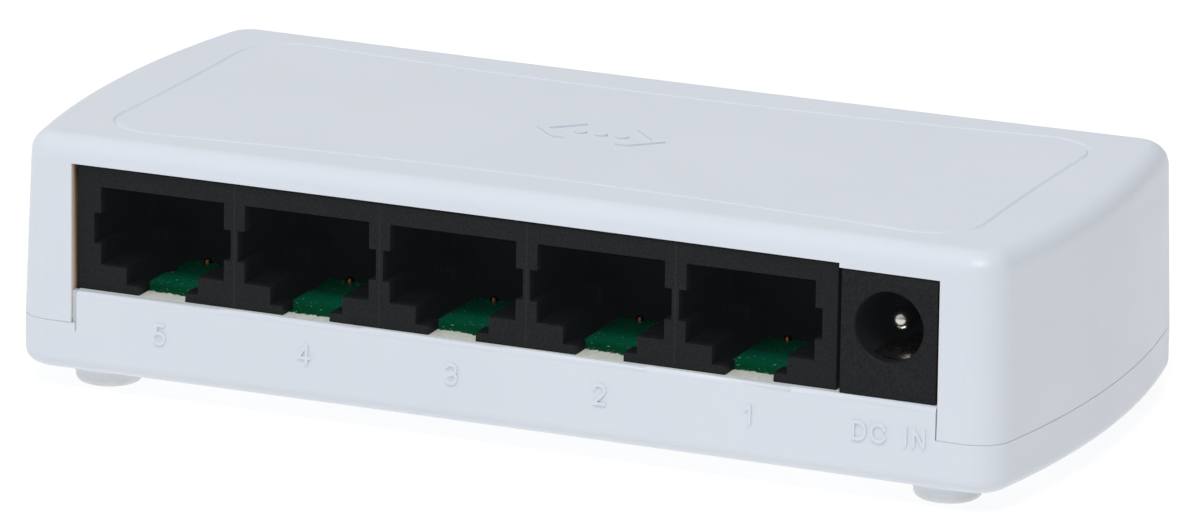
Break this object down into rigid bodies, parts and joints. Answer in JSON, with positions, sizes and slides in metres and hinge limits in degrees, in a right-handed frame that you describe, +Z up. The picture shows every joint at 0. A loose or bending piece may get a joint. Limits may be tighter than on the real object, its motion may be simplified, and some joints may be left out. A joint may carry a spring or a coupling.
{
  "type": "desktop network switch",
  "caption": "Small desktop network switch in a white two-part case, with modular jacks and a DC inlet on one side and status lamps on the other.",
  "frame": {"origin": "on the surface the feet stand on, under the centre of the case", "axes": "+Z up; the port face looks along -Y; +X to the right when the port face is seen from outside, so the DC inlet is at +X"},
  "size_m": [0.0972, 0.0451, 0.0234],
  "materials": {
    "white_case": "fine moulded satin",
    "foot_rubber": "soft translucent grey-white",
    "green_board": "solder mask over glass fibre",
    "black_moulding": "moulded, slightly rough",
    "gold_contact": "bright plated",
    "nickel_contact": "bright nickel",
    "tinned_lead": "dull tin",
    "screw_steel": "zinc plated",
    "black_chip": "moulded epoxy",
    "aluminium_can": "drawn, satin",
    "steel_can": "drawn, satin",
    "ferrite": "pressed powder",
    "tan_ceramic": "fired, satin",
    "lamp_resin": "clear to milky resin",
    "clear_guide": "clear polished plastic"
  },
  "bodies": {
    "case": {"top_cover": "white_case", "bottom_tray": "white_case", "foot_front_left": "foot_rubber", "foot_front_right": "foot_rubber", "foot_rear_left": "foot_rubber", "foot_rear_right": "foot_rubber", "case_screws": "screw_steel", "board_screws": "screw_steel", "circuit_board": "green_board", "rj45_housing": "black_moulding", "port_5_contact_carrier": "black_moulding", "port_5_contact_leads": "gold_contact", "port_4_contact_carrier": "black_moulding", "port_4_contact_leads": "gold_contact", "port_3_contact_carrier": "black_moulding", "port_3_contact_leads": "gold_contact", "port_2_contact_carrier": "black_moulding", "port_2_contact_leads": "gold_contact", "port_1_contact_carrier": "black_moulding", "port_1_contact_leads": "gold_contact", "dc_inlet_housing": "black_moulding", "dc_centre_pin": "nickel_contact", "dc_sleeve_terminal": "nickel_contact", "dc_switch_terminal": "nickel_contact", "line_transformer_1": "black_chip", "line_transformer_2": "black_chip", "line_transformer_3": "black_chip", "line_transformer_leads": "tinned_lead", "switch_chip": "black_chip", "switch_chip_leads": "tinned_lead", "can_capacitor_1": "aluminium_can", "can_capacitor_2": "aluminium_can", "can_capacitor_bases": "black_chip", "crystal": "steel_can", "power_inductor": "ferrite", "regulator_chip": "black_chip", "regulator_leads": "tinned_lead", "chip_capacitors": "tan_ceramic", "chip_resistors": "black_chip", "status_lamps": "lamp_resin", "light_guide": "clear_guide"},
    "port_5_contacts": {"port_5_contact_springs": "gold_contact"},
    "port_4_contacts": {"port_4_contact_springs": "gold_contact"},
    "port_3_contacts": {"port_3_contact_springs": "gold_contact"},
    "port_2_contacts": {"port_2_contact_springs": "gold_contact"},
    "port_1_contacts": {"port_1_contact_springs": "gold_contact"},
    "inlet_leaf": {"dc_sleeve_spring": "nickel_contact"}
  },
  "joints": [
    {"name": "port_5_contact_lift", "type": "hinge", "parent": "case", "child": "port_5_contacts", "pos_m": [-0.03263, -0.01752, 0.0191], "axis": [1, 0, 0], "range_deg": [0, 14], "stiffness_Nm_per_rad": 0.2},
    {"name": "port_4_contact_lift", "type": "hinge", "parent": "case", "child": "port_4_contacts", "pos_m": [-0.01867, -0.01752, 0.0191], "axis": [1, 0, 0], "range_deg": [0, 14], "stiffness_Nm_per_rad": 0.2},
    {"name": "port_3_contact_lift", "type": "hinge", "parent": "case", "child": "port_3_contacts", "pos_m": [-0.0047, -0.01752, 0.0191], "axis": [1, 0, 0], "range_deg": [0, 14], "stiffness_Nm_per_rad": 0.2},
    {"name": "port_2_contact_lift", "type": "hinge", "parent": "case", "child": "port_2_contacts", "pos_m": [0.00928, -0.01752, 0.0191], "axis": [1, 0, 0], "range_deg": [0, 14], "stiffness_Nm_per_rad": 0.2},
    {"name": "port_1_contact_lift", "type": "hinge", "parent": "case", "child": "port_1_contacts", "pos_m": [0.02324, -0.01752, 0.0191], "axis": [1, 0, 0], "range_deg": [0, 14], "stiffness_Nm_per_rad": 0.2},
    {"name": "inlet_leaf_press", "type": "hinge", "parent": "case", "child": "inlet_leaf", "pos_m": [0.03617, -0.01267, 0.01235], "axis": [1, 0, 0], "range_deg": [0, 5], "stiffness_Nm_per_rad": 0.35}
  ]
}
